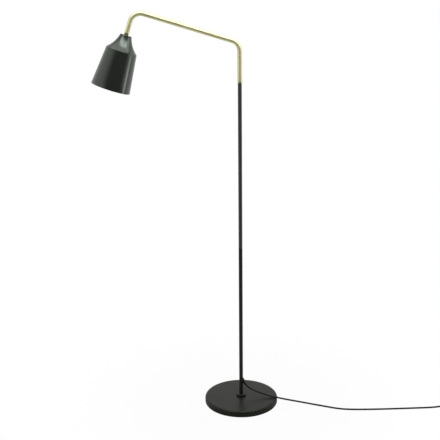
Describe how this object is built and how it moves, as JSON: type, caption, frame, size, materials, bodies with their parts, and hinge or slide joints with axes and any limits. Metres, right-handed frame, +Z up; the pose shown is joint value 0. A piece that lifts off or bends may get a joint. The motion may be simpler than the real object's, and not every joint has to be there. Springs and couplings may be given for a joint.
{
  "type": "floor lamp",
  "caption": "Floor lamp with a heavy round base, slim black pole, bent brass swing arm, tapered metal shade, in-line switch and mains cord.",
  "frame": {"origin": "centre of the base's underside, on the floor", "axes": "+Z up along the pole, arm and shade towards -X at rest, +Y towards the back"},
  "size_m": [1.4962, 0.282, 1.4938],
  "materials": {
    "black_metal": "satin green-black paint",
    "brass_tube": "pale satin brass",
    "iron": "raw casting",
    "felt": "felt",
    "steel": "zinc plated",
    "nylon": "matte",
    "cord_sheath": "matte sheath",
    "bakelite": "moulded",
    "black_plastic": "fine grain",
    "bulb_metal": "rolled thread",
    "opal_glass": "opal"
  },
  "bodies": {
    "stand": {"base_cover": "black_metal", "foot_collar": "black_metal", "lower_pole": "black_metal", "upper_pole": "black_metal", "swivel_spindle": "brass_tube", "base_weight": "iron", "base_felt": "felt", "base_stud": "steel", "base_washer": "steel", "base_nut": "steel", "pole_joiner": "steel", "stop_pin": "steel", "thrust_washer": "steel", "retaining_ring": "steel", "switch_screws": "steel", "plug_pins": "steel", "friction_washer": "nylon", "cord_gland": "cord_sheath", "cord_run": "cord_sheath", "cord_link": "cord_sheath", "cord_coil": "cord_sheath", "cord_tail": "cord_sheath", "pole_lead": "cord_sheath", "switch_base": "black_plastic", "switch_cover": "black_plastic", "coil_tie": "black_plastic", "plug_body": "black_plastic"},
    "arm": {"arm_tube": "brass_tube", "arm_bush": "brass_tube", "end_bush": "brass_tube", "arm_lead": "cord_sheath", "neck_gasket": "cord_sheath", "neck_nipple": "brass_tube", "shade_shell": "black_metal", "shade_washer": "steel", "shade_nut": "brass_tube", "holder_cap": "bakelite", "holder_body": "bakelite", "screw_shell": "brass_tube", "centre_contact": "brass_tube", "bulb_cap": "bulb_metal", "bulb_insulator": "bakelite", "bulb_tip": "steel", "bulb_glass": "opal_glass"},
    "button": {"switch_button": "black_plastic"}
  },
  "joints": [
    {"name": "arm_swivel", "type": "hinge", "parent": "stand", "child": "arm", "pos_m": [0, 0, 1.26], "axis": [0, 0, 1], "range_deg": [-155, 155]},
    {"name": "button_press", "type": "slide", "parent": "stand", "child": "button", "axis": [0, 0, -1], "range_m": [0, 0.003], "stiffness_N_per_m": 500, "springref_m": -0.003}
  ]
}
